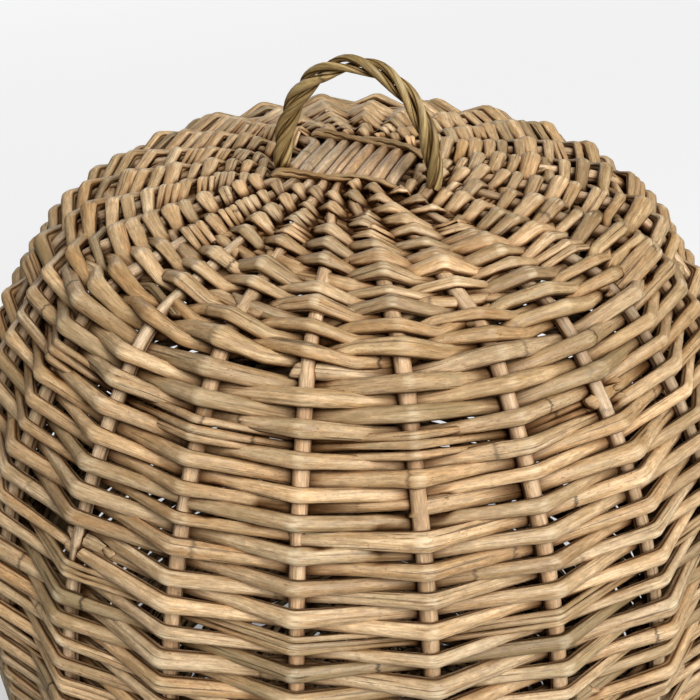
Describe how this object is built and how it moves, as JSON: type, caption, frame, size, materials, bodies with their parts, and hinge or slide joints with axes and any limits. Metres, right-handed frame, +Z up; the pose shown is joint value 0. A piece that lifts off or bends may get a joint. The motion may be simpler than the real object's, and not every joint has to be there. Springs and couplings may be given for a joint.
{
  "type": "lidded basket",
  "caption": "Round woven willow basket under a deep domed woven lid that lifts off by a twisted loop handle; stakes, weave bands, borders and guide band are separate pieces.",
  "frame": {"origin": "middle of the footprint, on the floor", "axes": "+Z up; -Y is the side that the picture shows, +X to the right there"},
  "size_m": [0.4446, 0.4446, 0.5123],
  "materials": {
    "willow_weave": "thin woven willow rods, light tan, clear lacquer",
    "willow_wale": "heavier willow rods with cracked bark, clear lacquer",
    "willow_stake": "stout peeled willow stakes, pale pinkish tan, clear lacquer",
    "willow_handle": "greenish straw-brown twisted rods, satin lacquer",
    "willow_binding": "thin brown binding rod, satin",
    "split_wood": "split wood lath, long straight grain, sanded",
    "nail_steel": "dull wire nail"
  },
  "bodies": {
    "basket": {"body_foot": "willow_wale", "body_base_weave": "willow_weave", "body_long_stake_1": "willow_stake", "body_long_stake_2": "willow_stake", "body_long_stake_3": "willow_stake", "body_long_stake_4": "willow_stake", "body_long_stake_5": "willow_stake", "body_long_stake_6": "willow_stake", "body_long_stake_7": "willow_stake", "body_long_stake_8": "willow_stake", "body_cross_stake_1": "willow_stake", "body_cross_stake_2": "willow_stake", "body_cross_stake_3": "willow_stake", "body_cross_stake_4": "willow_stake", "body_upsett_wale": "willow_wale", "body_side_weave": "willow_weave", "body_top_wale": "willow_wale", "body_border": "willow_wale", "guide_band": "split_wood", "guide_band_nail_1": "nail_steel", "guide_band_nail_2": "nail_steel", "guide_band_nail_3": "nail_steel", "guide_band_nail_4": "nail_steel", "guide_band_nail_5": "nail_steel", "guide_band_nail_6": "nail_steel", "guide_band_nail_7": "nail_steel", "guide_band_nail_8": "nail_steel"},
    "lid": {"lid_long_stake_1": "willow_stake", "lid_long_stake_2": "willow_stake", "lid_long_stake_3": "willow_stake", "lid_long_stake_4": "willow_stake", "lid_long_stake_5": "willow_stake", "lid_long_stake_6": "willow_stake", "lid_long_stake_7": "willow_stake", "lid_long_stake_8": "willow_stake", "lid_cross_stake_1": "willow_stake", "lid_cross_stake_2": "willow_stake", "lid_cross_stake_3": "willow_stake", "lid_cross_stake_4": "willow_stake", "lid_crown_weave": "willow_weave", "lid_shoulder_wale": "willow_wale", "lid_side_weave": "willow_weave", "lid_rim_wale": "willow_wale", "lid_border": "willow_wale", "lid_binding_rod_front": "willow_binding", "lid_binding_rod_back": "willow_binding", "handle_strand_1": "willow_handle", "handle_strand_2": "willow_handle", "handle_strand_3": "willow_handle"}
  },
  "joints": [
    {"name": "lid_lift", "type": "slide", "parent": "basket", "child": "lid", "axis": [0, 0, 1], "range_m": [0, 0.3]}
  ]
}
